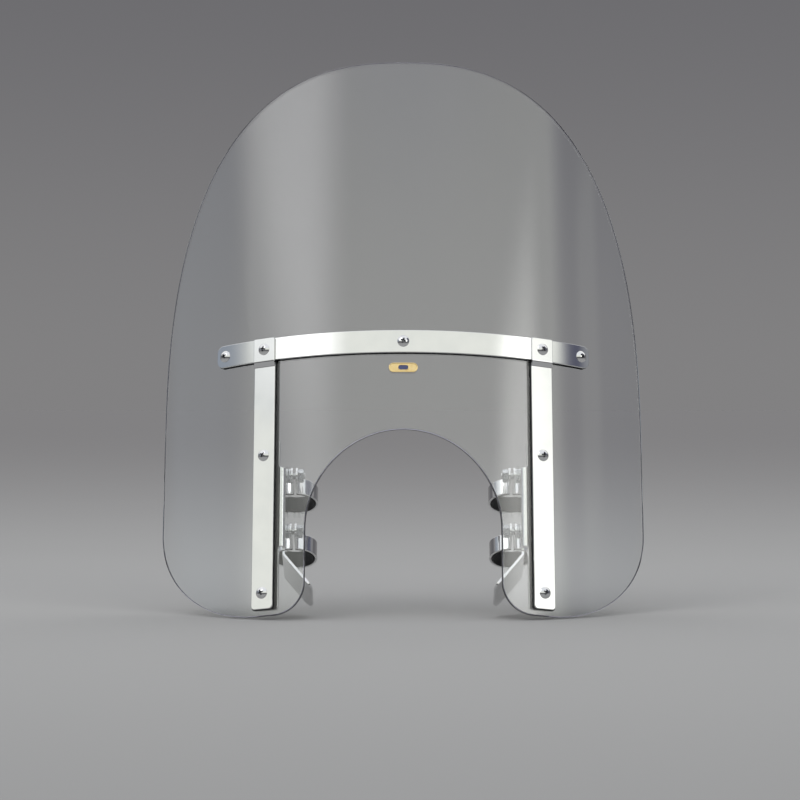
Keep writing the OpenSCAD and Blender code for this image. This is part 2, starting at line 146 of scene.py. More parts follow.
# Depths from the front face of the sheet, positive to the rear
FRONT_SEAT = -GASKET_T - STRAP_T
REAR_BAR = SHEET_T + GASKET_T + FLAT_LIFT
CROSS_REAR_SEAT = SHEET_T + GASKET_T + STRAP_T + CURVE_SEAT
CROSSING_REAR_SEAT = REAR_BAR + 2 * STRAP_T
PLATE_FRONT = REAR_BAR + STRAP_T + SLIP
UPRIGHT_REAR_SEAT = PLATE_FRONT + PLATE_T + SLIP
EAR_OUT = SPLIT + BAND_T
PLATE_OUT = PLATE_X - FORK_X + PLATE_T + SLIP
HEAD_SEAT = PLATE_OUT + BOLT_WASHER_T

# The ball that the dome of a truss head is part of, and the ends of its recess's cutters
DOME_R = (HEAD_R ** 2 + (HEAD_H - HEAD_LIP) ** 2) / (2 * (HEAD_H - HEAD_LIP))
RECESS_TOP = -HEAD_H - 0.5
RECESS_FLOOR = -HEAD_H + RECESS_DEEP
# The edges of pressed plates, bars and gaskets, and how far a gasket bulges past its bar
PLATE_EDGE = 0.5
BAR_EDGE = 0.55
GASKET_EDGE = 0.3
PROUD = 0.35
# How far below the cross strap the uprights' steps and gaskets begin
CROSS_GAP = 0.6
# Keeps a face just inside the CAD solid that it stands for
HAIR = 0.01

# ---- places ----


def shift(x, y, z):
    m = np.eye(4)
    m[:3, 3] = x, y, z
    return m


def turn(axis, degrees):
    """A turn about x, y or z by the right-hand rule."""
    c, s = math.cos(math.radians(degrees)), math.sin(math.radians(degrees))
    i, j = {"x": (1, 2), "y": (2, 0), "z": (0, 1)}[axis]
    m = np.eye(4)
    m[i, i] = m[j, j] = c
    m[i, j], m[j, i] = -s, s
    return m


def sided(side):
    return np.diag([side, 1.0, 1.0, 1.0])


# The screen's own frame: x across, y rearward from the apex line, z up the sheet
SCREEN = turn("x", -RAKE) @ shift(0, -PIVOT_BACK, PIVOT_DOWN)
# Takes a drawing's two axes to y and z, and its third to x
UPRIGHT_PLANE = np.array([[0, 0, 1, 0], [1, 0, 0, 0], [0, 1, 0, 0], [0, 0, 0, 1.0]])
# Takes a drawing's second axis to z and its third to y
TAB_PLANE = np.array([[1, 0, 0, 0], [0, 0, 1, 0], [0, 1, 0, 0], [0, 0, 0, 1.0]])
# Takes the y axis, along which turned parts are drawn, to x
ALONG_X = turn("z", -90)


def on_bend(degrees, h=0.0):
    """A place on the front face: x along the bend, y inward, z up."""
    return SCREEN @ shift(0, BEND_R, h) @ turn("z", degrees) @ shift(0, -BEND_R, 0)


def on_fork(side, level):
    """A fork's frame: z up the fork, y rearward, its origin on a clamp's front bolt."""
    place = shift(side * FORK_X, 0, level * CLAMP_PITCH)
    return turn("x", -FORK_RAKE) @ place @ sided(side)


CLAMP_PLACES = [on_fork(side, level) for side in (-1, 1) for level in (0, 1)]

# ---- shapes: (vertices, faces, a normal for each vertex or None) ----


def moved(shape, m):
    verts, faces, normals = shape
    spin = m[:3, :3]
    if np.linalg.det(spin) < 0:
        faces = [tuple(reversed(f)) for f in faces]
    normals = None if normals is None else normals @ spin.T
    return verts @ spin.T + m[:3, 3], faces, normals


def joined(shapes):
    verts, faces, normals, start = [], [], [], 0
    for v, f, n in shapes:
        verts.append(v)
        faces += [tuple(i + start for i in face) for face in f]
        normals.append(n)
        start += len(v)
    smooth = None if any(n is None for n in normals) else np.vstack(normals)
    return np.vstack(verts), faces, smooth


def repeated(shape, places):
    return joined([moved(shape, m) for m in places])


class Path:
    """A line in a plane, drawn from runs and arcs. It is the middle of a bent bar."""

    def __init__(self, x, y, heading):
        self.samples = [(0.0, x, y, heading)]

    @property
    def length(self):
        return self.samples[-1][0]

    def run(self, length):
        s, x, y, heading = self.samples[-1]
        a = math.radians(heading)
        end = (s + length, x + length * math.cos(a), y + length * math.sin(a), heading)
        self.samples.append(end)
        return self

    def arc(self, radius, degrees, step=6.0):
        """Turns left if degrees is positive."""
        s, x, y, heading = self.samples[-1]
        side = math.copysign(1, degrees)
        a0 = math.radians(heading)
        cx, cy = x - side * radius * math.sin(a0), y + side * radius * math.cos(a0)
        n = max(2, math.ceil(abs(degrees) / step))
        for k in range(1, n + 1):
            a = a0 + math.radians(degrees) * k / n
            self.samples.append((
                s + radius * math.radians(abs(degrees)) * k / n,
                cx + side * radius * math.sin(a),
                cy - side * radius * math.cos(a),
                math.degrees(a),
            ))
        return self

    def bend(self, verts, normals):
        """Takes (along, across, through) to the drawing's axes; through is to the right."""
        s, x, y, heading = np.array(self.samples).T
        a = np.radians(np.interp(verts[:, 0], s, heading))
        px, py = np.interp(verts[:, 0], s, x), np.interp(verts[:, 0], s, y)
        ahead = np.stack([np.cos(a), np.sin(a)], 1)
        right = np.stack([np.sin(a), -np.cos(a)], 1)
        flat = np.stack([px, py], 1) + right * verts[:, 2:3]
        tilt = ahead * normals[:, 0:1] + right * normals[:, 2:3]
        return np.hstack([flat, verts[:, 1:2]]), np.hstack([tilt, normals[:, 1:2]])

    def cuts(self):
        return [s[0] for s in self.samples[1:-1]]


def arc(cx, cy, r, a, b, n=12):
    t = np.radians(np.linspace(a, b, n + 1))
    return [(cx + r * math.cos(k), cy + r * math.sin(k)) for k in t]


def rounded(corners, n=8):
    """An outline through corners (x, y, radius), rounded with arcs."""
    out = []
    for i, (bx, by, r) in enumerate(corners):
        b = np.array([bx, by])
        if r == 0:
            out.append((bx, by))
            continue
        u = np.array(corners[i - 1][:2]) - b
        v = np.array(corners[(i + 1) % len(corners)][:2]) - b
        u, v = u / np.linalg.norm(u), v / np.linalg.norm(v)
        half = math.acos(np.clip(u @ v, -1, 1)) / 2
        c = b + (u + v) / np.linalg.norm(u + v) * r / math.sin(half)
        start = b + u * r / math.tan(half) - c
        a0 = math.degrees(math.atan2(start[1], start[0]))
        sweep = 180 - 2 * math.degrees(half)
        if u[0] * v[1] - u[1] * v[0] > 0:
            sweep = -sweep
        out += arc(c[0], c[1], r, a0, a0 + sweep, n)
    return out


def bar(x0, x1, y0, y1, *radii):
    """A rounded rectangle; radii start at its low corner and go round to the left."""
    r = radii if len(radii) == 4 else radii * 4
    return rounded([(x0, y0, r[0]), (x1, y0, r[1]), (x1, y1, r[2]), (x0, y1, r[3])])


def hole(x, y, r, n=32):
    return arc(x, y, r, 360, 360 / n, n - 1)


def cross_cut(bm, faces, cuts):
    """Cuts faces across at each of cuts, the middle one first."""
    if not faces or not cuts:
        return
    middle = len(cuts) // 2
    geometry = {part for face in faces for part in (face, *face.edges, *face.verts)}
    made = bmesh.ops.bisect_plane(bm, geom=list(geometry), dist=1e-4,
                                  plane_co=(cuts[middle], 0, 0), plane_no=(1, 0, 0))
    faces = [part for part in made["geom"] if isinstance(part, bmesh.types.BMFace)]
    before = [face.calc_center_median().x < cuts[middle] for face in faces]
    cross_cut(bm, [f for f, b in zip(faces, before) if b], cuts[:middle])
    cross_cut(bm, [f for f, b in zip(faces, before) if not b], cuts[middle + 1:])


def pressed(loops, w0, w1, edge, path, steps=3):
    """A blank cut from sheet, its edges rounded, then bent along a path.

    loops are the outline, then the holes, in (along, across). The blank lies from
    w0 to w1 through its thickness, and edge is the radius of its edges.
    """
    ease = [math.radians(90 * k / steps) for k in range(steps + 1)]
    rim = [(1 - math.sin(a), w0 + edge * (1 - math.cos(a)), math.sin(a), -math.cos(a))
           for a in ease]
    rim += [(1 - math.sin(a), w1 - edge * (1 - math.cos(a)), math.sin(a), math.cos(a))
            for a in reversed(ease)]
    bm = bmesh.new()
    layer = bm.verts.layers.float_vector.new("through")
    low_caps, high_caps = [], []
    for number, points in enumerate(loops):
        p = np.array(points)
        ahead = np.roll(p, -1, 0) - p
        area = (p[:, 0] * np.roll(p[:, 1], -1) - p[:, 1] * np.roll(p[:, 0], -1)).sum()
        if (area > 0) == (number > 0):
            p = p[::-1]
            ahead = np.roll(p, -1, 0) - p
        ahead /= np.linalg.norm(ahead, axis=1)[:, None]
        out = np.stack([ahead[:, 1], -ahead[:, 0]], 1)
        mean = out + np.roll(out, 1, 0)
        mean /= np.linalg.norm(mean, axis=1)[:, None]
        mitre = mean / np.clip((mean * out).sum(1), 0.5, 1)[:, None]
        rings = []
        for inset, w, flat, up in rim:
            ring = []
            for place, m, n in zip(p, mitre, mean):
                q = place - m * inset * edge
                vert = bm.verts.new((q[0], q[1], w))
                vert[layer] = (n[0] * flat, n[1] * flat, up)
                ring.append(vert)
            rings.append(ring)
        for low, high in zip(rings, rings[1:]):
            for i in range(len(low)):
                j = (i + 1) % len(low)
                bm.faces.new((low[i], low[j], high[j], high[i]))
        low_caps.append(rings[0])
        high_caps.append(rings[-1])
    for caps, up in ((low_caps, False), (high_caps, True)):
        verts = [v for ring in caps for v in ring]
        for tri in tessellate_polygon([[v.co for v in ring] for ring in caps]):
            a, b, c = (verts[i] for i in tri)
            area = (b.co - a.co).cross(c.co - a.co).z
            if abs(area) > 1e-9:
                bm.faces.new((a, b, c) if (area > 0) == up else (a, c, b))
    cross_cut(bm, list(bm.faces), path.cuts())
    bm.verts.index_update()
    verts = np.array([v.co[:] for v in bm.verts])
    normals = np.array([v[layer][:] for v in bm.verts])
    faces = [tuple(v.index for v in f.verts) for f in bm.faces]
    bm.free()
    verts, normals = path.bend(verts, normals)
    normals /= np.linalg.norm(normals, axis=1)[:, None]
    return verts, faces, normals


def lathe(profile, n=48):
    """Turns (radius, along) points about the y axis. The profile goes round the solid
    so that its outside is on the left of a profile that is read from -y to +y."""
    verts, faces, rings = [], [], []
    for r, y in profile:
        if r < 1e-6:
            rings.append([len(verts)] * n)
            verts.append((0, y, 0))
            continue
        rings.append(list(range(len(verts), len(verts) + n)))
        for k in range(n):
            a = 2 * math.pi * k / n
            verts.append((r * math.cos(a), y, r * math.sin(a)))
    closed = profile[0][0] > 1e-6
    pairs = list(zip(rings, rings[1:]))
    if closed:
        pairs.append((rings[-1], rings[0]))
    for low, high in pairs:
        for i in range(n):
            j = (i + 1) % n
            face = []
            for v in (low[i], high[i], high[j], low[j]):
                if v not in face:
                    face.append(v)
            faces.append(tuple(face))
    return np.array(verts, float), faces, None


def ring(r_in, r_out, y0, y1, ease=0.2):
    """A washer or tube with eased edges."""
    e = min(ease, (r_out - r_in) / 3, (y1 - y0) / 3)
    k = 0.3 * e
    return lathe([
        (r_in, y0 + e), (r_in + k, y0 + k), (r_in + e, y0),
        (r_out - e, y0), (r_out - k, y0 + k), (r_out, y0 + e),
        (r_out, y1 - e), (r_out - k, y1 - k), (r_out - e, y1),
        (r_in + e, y1), (r_in + k, y1 - k), (r_in, y1 - e),
    ])


def corner_of(af):
    """From the axis to a corner of a hexagon, from its width across flats."""
    return af / 2 / math.cos(math.radians(30))


def hex_bar(af, y0, y1):
    r = corner_of(af)
    return lathe([(0, y0), (r, y0), (r, y1), (0, y1)], n=6)


def threaded(r, pitch, y0, y1, bare=0.0, n=32):
    """A screw's shank with a real thread; its first bare millimetres are plain."""
    depth, per_turn = 0.54 * pitch, 6
    rows = max(8, round((y1 - y0) / pitch * per_turn))
    profile = [(0, y0)] + [(r, y0 + (y1 - y0) * k / rows) for k in range(rows + 1)] + [(0, y1)]
    verts, faces, _ = lathe(profile, n)
    along = verts[:, 1]
    angle = np.arctan2(verts[:, 2], verts[:, 0]) / (2 * math.pi)
    wave = 2 * np.abs((along / pitch - angle) % 1.0 - 0.5)
    fade = np.clip((along - y0 - bare) / pitch, 0, 1)
    tip = np.clip((y1 - along) / (0.6 * pitch), 0, 1)
    rim = np.hypot(verts[:, 0], verts[:, 2]) > 0.5 * r
    grown = r - depth * np.where(tip < 1, 1 - tip + wave * tip, wave) * fade
    scale = np.where(rim, grown / r, 1)[:, None]
    verts[:, [0, 2]] *= scale
    return verts, faces, None


def mesh_of(name, shape, unit=1.0):
    mesh = bpy.data.meshes.new(name)
    mesh.from_pydata((shape[0] * unit).tolist(), [], shape[1])
    return mesh


def carved(a, *tools):
    """Shape a after each ("DIFFERENCE" | "INTERSECT" | "UNION", tool), in order."""
    made = [bpy.data.objects.new("blank", mesh_of("blank", a))]
    bpy.context.scene.collection.objects.link(made[0])
    for operation, tool in tools:
        cutter = bpy.data.objects.new("cutter", mesh_of("cutter", tool))
        bpy.context.scene.collection.objects.link(cutter)
        made.append(cutter)
        step = made[0].modifiers.new("step", "BOOLEAN")
        step.operation, step.object, step.solver = operation, cutter, "EXACT"
    evaluated = made[0].evaluated_get(bpy.context.evaluated_depsgraph_get())
    solid = evaluated.to_mesh()
    verts = np.array([v.co[:] for v in solid.vertices])
    faces = [tuple(p.vertices) for p in solid.polygons]
    evaluated.to_mesh_clear()
    for o in made:
        bpy.data.meshes.remove(o.data)
    return verts, faces, None


# ---- materials ----


def principled(name, **sockets):
    mat = bpy.data.materials.new(name)
    mat.use_nodes = True
    shader = mat.node_tree.nodes["Principled BSDF"]
    for socket, value in sockets.items():
        shader.inputs[socket.replace("_", " ")].default_value = value
    return mat, mat.node_tree, shader


def noise(tree, scale, detail=4.0, stretch=(1, 1, 1)):
    where = tree.nodes.new("ShaderNodeTexCoord")
    mapping = tree.nodes.new("ShaderNodeMapping")
    mapping.inputs["Scale"].default_value = stretch
    texture = tree.nodes.new("ShaderNodeTexNoise")
    texture.inputs["Scale"].default_value = scale
    texture.inputs["Detail"].default_value = detail
    tree.links.new(where.outputs["Object"], mapping.inputs["Vector"])
    tree.links.new(mapping.outputs["Vector"], texture.inputs["Vector"])
    return texture.outputs["Fac"]


def spread(tree, value, low, high, socket, between=(0.3, 0.7)):
    """Drives a socket from a 0 to 1 value; low and high are numbers or colours."""
    ramp = tree.nodes.new("ShaderNodeValToRGB")
    for element, at, c in zip(ramp.color_ramp.elements, between, (low, high)):
        element.position = at
        element.color = (c, c, c, 1) if isinstance(c, float) else (*c, 1)
    tree.links.new(value, ramp.inputs["Fac"])
    tree.links.new(ramp.outputs["Color"], socket)


def bumped(tree, shader, height, strength, distance):
    bump = tree.nodes.new("ShaderNodeBump")
    bump.inputs["Strength"].default_value = strength
    bump.inputs["Distance"].default_value = distance
    tree.links.new(height, bump.inputs["Height"])
    tree.links.new(bump.outputs["Normal"], shader.inputs["Normal"])


def clear_plastic():
    """Polished polycarbonate, with the faint haze and smears of a wiped screen."""
    mat, tree, shader = principled(
        "clear_polycarbonate", Transmission_Weight=1.0, IOR=1.585, Roughness=0.0)
    spread(tree, noise(tree, 9.0, stretch=(1, 1, 0.35)), (0.945, 0.96, 0.958),
           (0.975, 0.985, 0.982), shader.inputs["Base Color"])
    return mat


def screen_edge_shade():
    """The sheet's polished edge, tinted dark blue-grey as painted shade for the dark line that
    refraction draws along a clear edge.
    """
    mat, tree, shader = principled(
        "screen_edge_shade", Transmission_Weight=1.0, IOR=1.585, Roughness=0.02)
    spread(tree, noise(tree, 30.0), (0.37, 0.36, 0.47), (0.44, 0.43, 0.54),
           shader.inputs["Base Color"])
    return mat


def chrome():
    """Bright plate: a mirror with polishing haze and a faint wave."""
    mat, tree, shader = principled("chrome_plate", Metallic=1.0)
    haze = noise(tree, 38.0)
    spread(tree, haze, (0.74, 0.745, 0.75), (0.79, 0.79, 0.79), shader.inputs["Base Color"])
    spread(tree, noise(tree, 14.0, 6.0), 0.035, 0.085, shader.inputs["Roughness"])
    bumped(tree, shader, noise(tree, 22.0, 1.0), 0.12, 0.0004)
    return mat


def recess():
    """Duller plate in a driver recess, its colour darkened well past real plating as painted
    shade in the recess.
    """
    mat, tree, shader = principled("recess_plate_and_shade", Metallic=1.0)
    spread(tree, noise(tree, 420.0), (0.10, 0.10, 0.11), (0.22, 0.22, 0.23),
           shader.inputs["Base Color"])
    spread(tree, noise(tree, 700.0), 0.25, 0.45, shader.inputs["Roughness"])
    return mat


def zinc():
    """Zinc-plated fasteners, duller than the chrome and lightly mottled."""
    mat, tree, shader = principled("bright_zinc", Metallic=1.0)
    spread(tree, noise(tree, 260.0), (0.50, 0.51, 0.53), (0.66, 0.67, 0.68),
           shader.inputs["Base Color"])
    spread(tree, noise(tree, 420.0), 0.22, 0.38, shader.inputs["Roughness"])
    bumped(tree, shader, noise(tree, 900.0), 0.15, 0.0001)
    return mat


def rubber():
    mat, tree, shader = principled("black_rubber", Specular_IOR_Level=0.35)
    spread(tree, noise(tree, 180.0), (0.012, 0.012, 0.014), (0.03, 0.03, 0.032),
           shader.inputs["Base Color"])
    spread(tree, noise(tree, 700.0), 0.5, 0.72, shader.inputs["Roughness"])
    bumped(tree, shader, noise(tree, 1600.0, 2.0), 0.3, 0.0002)
    return mat


def nylon():
    mat, tree, shader = principled("natural_nylon", Subsurface_Weight=0.15)
    shader.inputs["Subsurface Radius"].default_value = (0.002, 0.002, 0.0015)
    spread(tree, noise(tree, 120.0), (0.78, 0.77, 0.71), (0.86, 0.85, 0.80),
           shader.inputs["Base Color"])
    spread(tree, noise(tree, 500.0), 0.38, 0.5, shader.inputs["Roughness"])
    return mat


def gilt():
    """The badge's pale gold rim."""
    mat, tree, shader = principled("pale_gold", Metallic=1.0)
    spread(tree, noise(tree, 300.0), (0.78, 0.58, 0.27), (0.88, 0.70, 0.38),
           shader.inputs["Base Color"])
    spread(tree, noise(tree, 500.0), 0.16, 0.28, shader.inputs["Roughness"])
    bumped(tree, shader, noise(tree, 700.0), 0.2, 0.0001)
    return mat


def enamel():
    """The badge's plain field, under a clear coat."""
    mat, tree, shader = principled("blue_enamel", Coat_Weight=1.0, Coat_Roughness=0.03)
    spread(tree, noise(tree, 350.0), (0.02, 0.035, 0.16), (0.035, 0.06, 0.24),
           shader.inputs["Base Color"])
    spread(tree, noise(tree, 800.0), 0.28, 0.4, shader.inputs["Roughness"])
    return mat


CLEAR, CHROME, ZINC, RUBBER, NYLON = clear_plastic(), chrome(), zinc(), rubber(), nylon()
# The recess material is darkened plate that paints shade into the screws' driver recesses.
GILT, ENAMEL, RECESS_SHADE, EDGE_SHADE = gilt(), enamel(), recess(), screen_edge_shade()


def piece(name, shape, material, body, slot_name, *nodes, sharp=35):
    """Makes a piece that rides on a body and stands for CAD nodes."""
    mesh = mesh_of(name, shape, MM)
    made = bpy.data.objects.new(name, mesh)
    mesh.polygons.foreach_set("use_smooth", [True] * len(mesh.polygons))
    if shape[2] is None:
        mesh.set_sharp_from_angle(angle=math.radians(sharp))
        weighted = made.modifiers.new("flat_faces", "WEIGHTED_NORMAL")
        weighted.keep_sharp = True
    else:
        mesh.normals_split_custom_set_from_vertices(shape[2].tolist())
    mesh.materials.append(material)
    bpy.context.scene.collection.objects.link(made)
    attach(made, body)
    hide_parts(*nodes)
    return made


# ---- the camera: level, in front, at the photograph's distance ----

CAMERA_AT = (-0.0036, -3.0384, 0.1468)
LENS_MM = 122.7


def make_camera():
    data = bpy.data.cameras.new("camera")
    data.lens, data.sensor_width = LENS_MM, 36.0
    camera = bpy.data.objects.new("camera", data)
    camera.location = CAMERA_AT
    camera.rotation_euler = (math.pi / 2, 0, 0)
    bpy.context.scene.collection.objects.link(camera)
    bpy.context.scene.camera = camera


make_camera()

# ---- the screen ----


def bend_path(radius, half_deg, step=0.8):
    """A path round the bend at some radius, from the -x side to the +x side."""
    a = math.radians(half_deg)
    x, y = -radius * math.sin(a), BEND_R - radius * math.cos(a)
    return Path(x, y, -half_deg).arc(radius, 2 * half_deg, step)


def power(x, p):
    return math.copysign(abs(x) ** p, x)


def screen_outline():
    """The outline as seen square from in front, in x and height."""
    lobe_x, lobe_y = HALF_W - LOBE_R, BOTTOM_H + LOBE_R
    in_x, in_y = CUTOUT_R + CUTOUT_CORNER_R, BOTTOM_H + CUTOUT_CORNER_R
    top, steps = [], 240
    for k in range(1, steps):
        t = math.pi * k / steps
        top.append((HALF_W * power(math.cos(t), 2 / TOP_POWER),
                    SIDE_H + (TOP_H - SIDE_H) * power(math.sin(t), 2 / TOP_POWER)))
    return [
        *arc(lobe_x, lobe_y, LOBE_R, -90, 0, 40), (HALF_W, SIDE_H), *top, (-HALF_W, SIDE_H),
        *arc(-lobe_x, lobe_y, LOBE_R, 180, 270, 40),
        *arc(-in_x, in_y, CUTOUT_CORNER_R, 270, 360, 20),
        *arc(0, CUTOUT_H, CUTOUT_R, 180, 0, 90),
        *arc(in_x, in_y, CUTOUT_CORNER_R, 180, 270, 20),
    ]


STRAP_HOLES = [(0, 0), (-END_DEG, 0), (END_DEG, 0)]
STRAP_HOLES += [(s * UPRIGHT_DEG, h) for h in (0, MID_H, LOW_H) for s in (-1, 1)]


def make_screen():
    half_deg, edge, least_square_on = 52.0, 1.1, 0.85
    path = bend_path(BEND_R - SHEET_T / 2, half_deg)
    middle = path.length / 2
    per_deg = middle / half_deg

    def along(x):
        return middle + math.degrees(math.asin(x / BEND_R)) * per_deg

    loops = [[(along(x), h) for x, h in screen_outline()]]
    loops += [hole(middle + d * per_deg, h, BUSH_R) for d, h in STRAP_HOLES]
    shape = pressed(loops, -SHEET_T / 2, SHEET_T / 2, edge, path, 4)
    made = piece("clear_screen", moved(shape, SCREEN), CLEAR,
                 "windshield", "clear_sheet", "screen")
    # The edge faces take the darkened edge material: painted shade for the dark line along the
    # screen's edge.
    made.data.materials.append(EDGE_SHADE)
    outward = shape[0] * (1, 1, 0) - (0, BEND_R, 0)
    outward /= np.linalg.norm(outward, axis=1)[:, None]
    square_on = np.abs((outward * shape[2]).sum(1))
    for polygon, face in zip(made.data.polygons, shape[1]):
        polygon.material_index = int(square_on[list(face)].mean() < least_square_on)


make_screen()

# ---- straps and gaskets ----


def cross_layer(depth, thick, proud, edge):
    """A layer of the cross strap's sandwich; proud lets a gasket show past the bar."""
    radius = BEND_R - depth - thick / 2
    half_deg = CROSS_ARC * DEG_PER_MM + 1
    path = bend_path(radius, half_deg)
    middle = path.length / 2
    per_deg = middle / half_deg
    reach, hw = CROSS_ARC * DEG_PER_MM * per_deg + proud, STRAP_W / 2 + proud
    loops = [bar(middle - reach, middle + reach, -hw, hw, CROSS_CORNER_R)]
    for d in (0, -END_DEG, END_DEG, -UPRIGHT_DEG, UPRIGHT_DEG):
        loops.append(hole(middle + d * per_deg, 0, SCREW_R + HOLE_PLAY))
    return moved(pressed(loops, -thick / 2, thick / 2, edge, path), SCREEN)


def upright_path(depth, back):
    """The middle of an upright, in depth and height. back is -1 in front, 1 behind.

    It steps away from the sheet, below the cross strap, with two easy bends.
    """
    slope, radius = 24.0, 4.0
    step_top = -STRAP_W / 2 - CROSS_GAP
    ease = radius * math.tan(math.radians(slope / 2))
    climb = STRAP_T / math.tan(math.radians(slope))
    low_run = step_top - climb - CROSS_GAP - UPRIGHT_LOW - ease
    path = Path(depth + back * STRAP_T / 2, UPRIGHT_LOW, 90)
    path.run(low_run).arc(radius, -back * slope)
    path.run(STRAP_T / math.sin(math.radians(slope)) - 2 * ease)
    path.arc(radius, back * slope)
    return path.run(STRAP_W / 2 - path.samples[-1][2])


def upright(side, depth, back):
    path = upright_path(depth, back)
    hw, low_corner, top_corner = STRAP_W / 2, 4.0, 1.6
    loops = [bar(0, path.length, -hw, hw, low_corner, top_corner, top_corner, low_corner)]
    for along in (path.length - hw, MID_H - UPRIGHT_LOW, LOW_H - UPRIGHT_LOW):
        loops.append(hole(along, 0, SCREW_R + HOLE_PLAY))
    shape = pressed(loops, -STRAP_T / 2, STRAP_T / 2, BAR_EDGE, path)
    return moved(shape, on_bend(side * UPRIGHT_DEG) @ UPRIGHT_PLANE)


def upright_gasket(side, depth, thick, lap):
    """A strip under an upright, as far past each edge of its bar as lap says."""
    radius = BEND_R - depth - thick / 2
    half_deg = 3.0
    path = bend_path(radius, half_deg, 0.5)
    middle, hw = path.length / 2, STRAP_W / 2 + lap
    loops = [bar(middle - hw, middle + hw, UPRIGHT_LOW - PROUD, -STRAP_W / 2 - CROSS_GAP,
                 4.0, 4.0, 0.5, 0.5)]
    loops += [hole(middle, h, SCREW_R + HOLE_PLAY) for h in (MID_H, LOW_H)]
    shape = pressed(loops, -thick / 2, thick / 2, GASKET_EDGE, path)
    return moved(shape, on_bend(side * UPRIGHT_DEG))


def make_straps():
    rear = SHEET_T + GASKET_T
    for where, depth, gasket_depth in (("front", FRONT_SEAT, -GASKET_T),
                                       ("rear", rear, SHEET_T + SKIN)):
        name = f"cross_strap_{where}"
        piece(f"{name}_bar", cross_layer(depth, STRAP_T, 0, BAR_EDGE), CHROME,
              "windshield", "chrome", name)
        name = f"cross_gasket_{where}"
        gasket = cross_layer(gasket_depth, GASKET_T - SKIN, PROUD, GASKET_EDGE)
        piece(f"{name}_strip", gasket, RUBBER, "windshield", "black_rubber", name)
    for side, hand in ((-1, "left"), (1, "right")):
        for where, depth, back, gasket_depth, lap in (
                ("front", -GASKET_T, -1, -GASKET_T, PROUD),
                ("rear", REAR_BAR, 1, SHEET_T + SKIN, GASKET_LAP)):
            name = f"{hand}_upright_{where}"
            piece(f"{name}_bar", upright(side, depth, back), CHROME,
                  "windshield", "chrome", name)
            name = f"{hand}_gasket_{where}"
            gasket = upright_gasket(side, gasket_depth, GASKET_T - SKIN, lap)
            piece(f"{name}_strip", gasket, RUBBER, "windshield", "black_rubber", name)


make_straps()

# ---- strap fasteners ----


def recess_wing(angle):
    """One tapered wing of a cross recess, cut into a head whose top is at -HEAD_H."""
    mouth, floor = (RECESS_REACH, 0.98), (1.3, 0.5)
    verts = []
    for y, (long, wide) in ((RECESS_TOP, mouth), (RECESS_FLOOR, floor)):
        verts += [(-long, y, -wide), (long, y, -wide), (long, y, wide), (-long, y, wide)]
    faces = [(0, 1, 2, 3), (7, 6, 5, 4)]
    faces += [(i + 4, (i + 1) % 4 + 4, (i + 1) % 4, i) for i in range(4)]
    return moved((np.array(verts), faces, None), turn("y", angle))


def truss_screw(length):
    """A domed screw, its head's seat at y = 0. Two wings and a pocket make its recess."""
    widest = math.asin(HEAD_R / DOME_R)
    dome = [(DOME_R * math.sin(a), DOME_R - HEAD_H - DOME_R * math.cos(a))
            for a in np.linspace(0, widest, 15)]
    dome[0] = (0, -HEAD_H)
    profile = dome + [(HEAD_R - 0.03, -0.2), (HEAD_R - 0.25, 0), (SCREW_R, 0),
                      (SCREW_R, length - 0.7), (SCREW_R - 0.6, length), (0, length)]
    pocket = [(0, RECESS_TOP), (1.95, RECESS_TOP), (0.9, RECESS_FLOOR), (0, RECESS_FLOOR)]
    return carved(lathe(profile, 64), ("DIFFERENCE", recess_wing(0)),
                  ("DIFFERENCE", recess_wing(90)), ("DIFFERENCE", lathe(pocket, 24)))


def shade_recesses(made, screw, count):
    """Gives the recess faces of each copy of a screw their duller plate, darkened as painted
    shade.
    """
    dome_skin, seat_gap, reach = 0.12, 0.3, RECESS_REACH + 0.1
    # Faces below the dome's skin take the darkened plate: painted shade inside the recess.
    made.data.materials.append(RECESS_SHADE)
    for i, face in enumerate(screw[1]):
        x, y, z = screw[0][list(face)].mean(axis=0)
        under_dome = DOME_R - math.dist((x, y, z), (0, DOME_R - HEAD_H, 0))
        if under_dome > dome_skin and math.hypot(x, z) < reach and y < -seat_gap:
            for copy in range(count):
                made.data.polygons[copy * len(screw[1]) + i].material_index = 1


def cap_nut():
    """An acorn nut, its seat at y = 0 and its dome to +y."""
    corner, flat = corner_of(NUT_AF), NUT_AF / 2 - 0.1
    envelope = [(0, 0), (flat, 0), (corner, 0.75), (corner, NUT_H - 1.0), (flat, NUT_H),
                (0, NUT_H)]
    dome_r, collar = NUT_AF / 2 - 0.3, 0.15
    dome = [(0, NUT_H - 1), (dome_r, NUT_H - 1), (dome_r, NUT_H + collar)]
    dome += [(dome_r * math.cos(math.radians(a)),
              NUT_H + collar + (dome_r - collar) * math.sin(math.radians(a)))
             for a in range(6, 90, 6)]
    dome.append((0, NUT_H + dome_r))
    bore_r, bore_end, bore_tip = SCREW_R + 0.05, 7, 7.8
    bore = [(0, -1), (bore_r, -1), (bore_r, bore_end), (0, bore_tip)]
    return carved(lathe(envelope, 64), ("INTERSECT", hex_bar(NUT_AF, -1, NUT_H + 1)),
                  ("UNION", lathe(dome, 64)), ("DIFFERENCE", lathe(bore)))


def crossed_places(holes, depth, turns=None):
    """Places on the strap stack at some depth; turns spin each piece about its own axis."""
    turns = turns or [0] * len(holes)
    return [on_bend(d, h) @ shift(0, depth, 0) @ turn("y", a)
            for (d, h), a in zip(holes, turns)]


